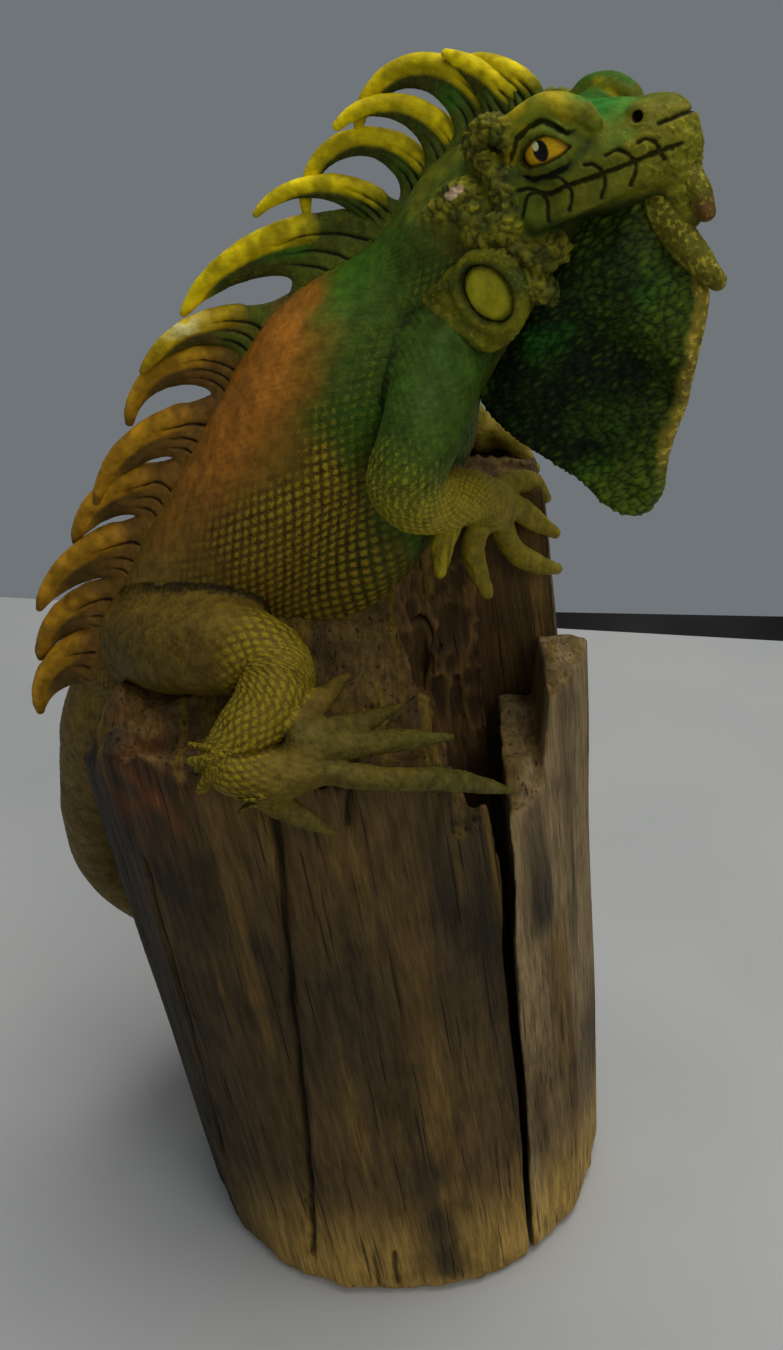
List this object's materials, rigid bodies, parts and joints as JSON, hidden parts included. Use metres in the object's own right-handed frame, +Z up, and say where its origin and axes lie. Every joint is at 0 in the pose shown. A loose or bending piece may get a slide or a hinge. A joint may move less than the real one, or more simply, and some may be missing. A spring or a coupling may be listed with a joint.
{
  "type": "alebrije figure",
  "caption": "Painted hand-modelled green iguana with a crest of curled blades, clinging to a hollow weathered log that stands on its sawn foot.",
  "frame": {"origin": "centre of the log's sawn foot, on the surface that it stands on", "axes": "+Z up, +X the way the iguana faces, -Y the iguana's right side"},
  "size_m": [0.2482, 0.2214, 0.5018],
  "materials": {
    "log_wood": "weathered, bare",
    "split_wood": "weathered, bare, greyed",
    "dowel_wood": "plain, glued",
    "green_paint": "painted paste, scale texture, matt",
    "brown_paint": "painted paste, scale texture, matt",
    "yellow_paint": "painted paste, dry-brushed",
    "eye_paint": "painted, varnished",
    "core_paste": "rough packed paper",
    "steel_wire": "plain drawn wire"
  },
  "bodies": {
    "root": {"cheek_flap_left": "green_paint", "cheek_flap_right": "green_paint", "cheek_shield_left": "yellow_paint", "cheek_shield_right": "yellow_paint", "chin_spike_1": "yellow_paint", "chin_spike_2": "yellow_paint", "chin_spike_3": "yellow_paint", "crest_blade_01": "yellow_paint", "crest_blade_02": "yellow_paint", "crest_blade_03": "yellow_paint", "crest_blade_04": "yellow_paint", "crest_blade_05": "yellow_paint", "crest_blade_06": "yellow_paint", "crest_blade_07": "yellow_paint", "crest_blade_08": "yellow_paint", "crest_blade_09": "yellow_paint", "crest_blade_10": "yellow_paint", "crest_blade_11": "yellow_paint", "crest_blade_12": "yellow_paint", "crest_blade_13": "yellow_paint", "crest_blade_14": "yellow_paint", "dewlap": "green_paint", "eye_left": "eye_paint", "eye_right": "eye_paint", "foreleg_left": "green_paint", "foreleg_left_wire": "steel_wire", "foreleg_right": "green_paint", "foreleg_right_wire": "steel_wire", "head": "green_paint", "hindleg_left": "brown_paint", "hindleg_left_wire": "steel_wire", "hindleg_right": "brown_paint", "hindleg_right_wire": "steel_wire", "log_stave": "split_wood", "log_trunk": "log_wood", "mounting_dowel": "dowel_wood", "spine_wire": "steel_wire", "tail": "brown_paint", "torso": "green_paint", "torso_core": "core_paste"}
  },
  "joints": []
}
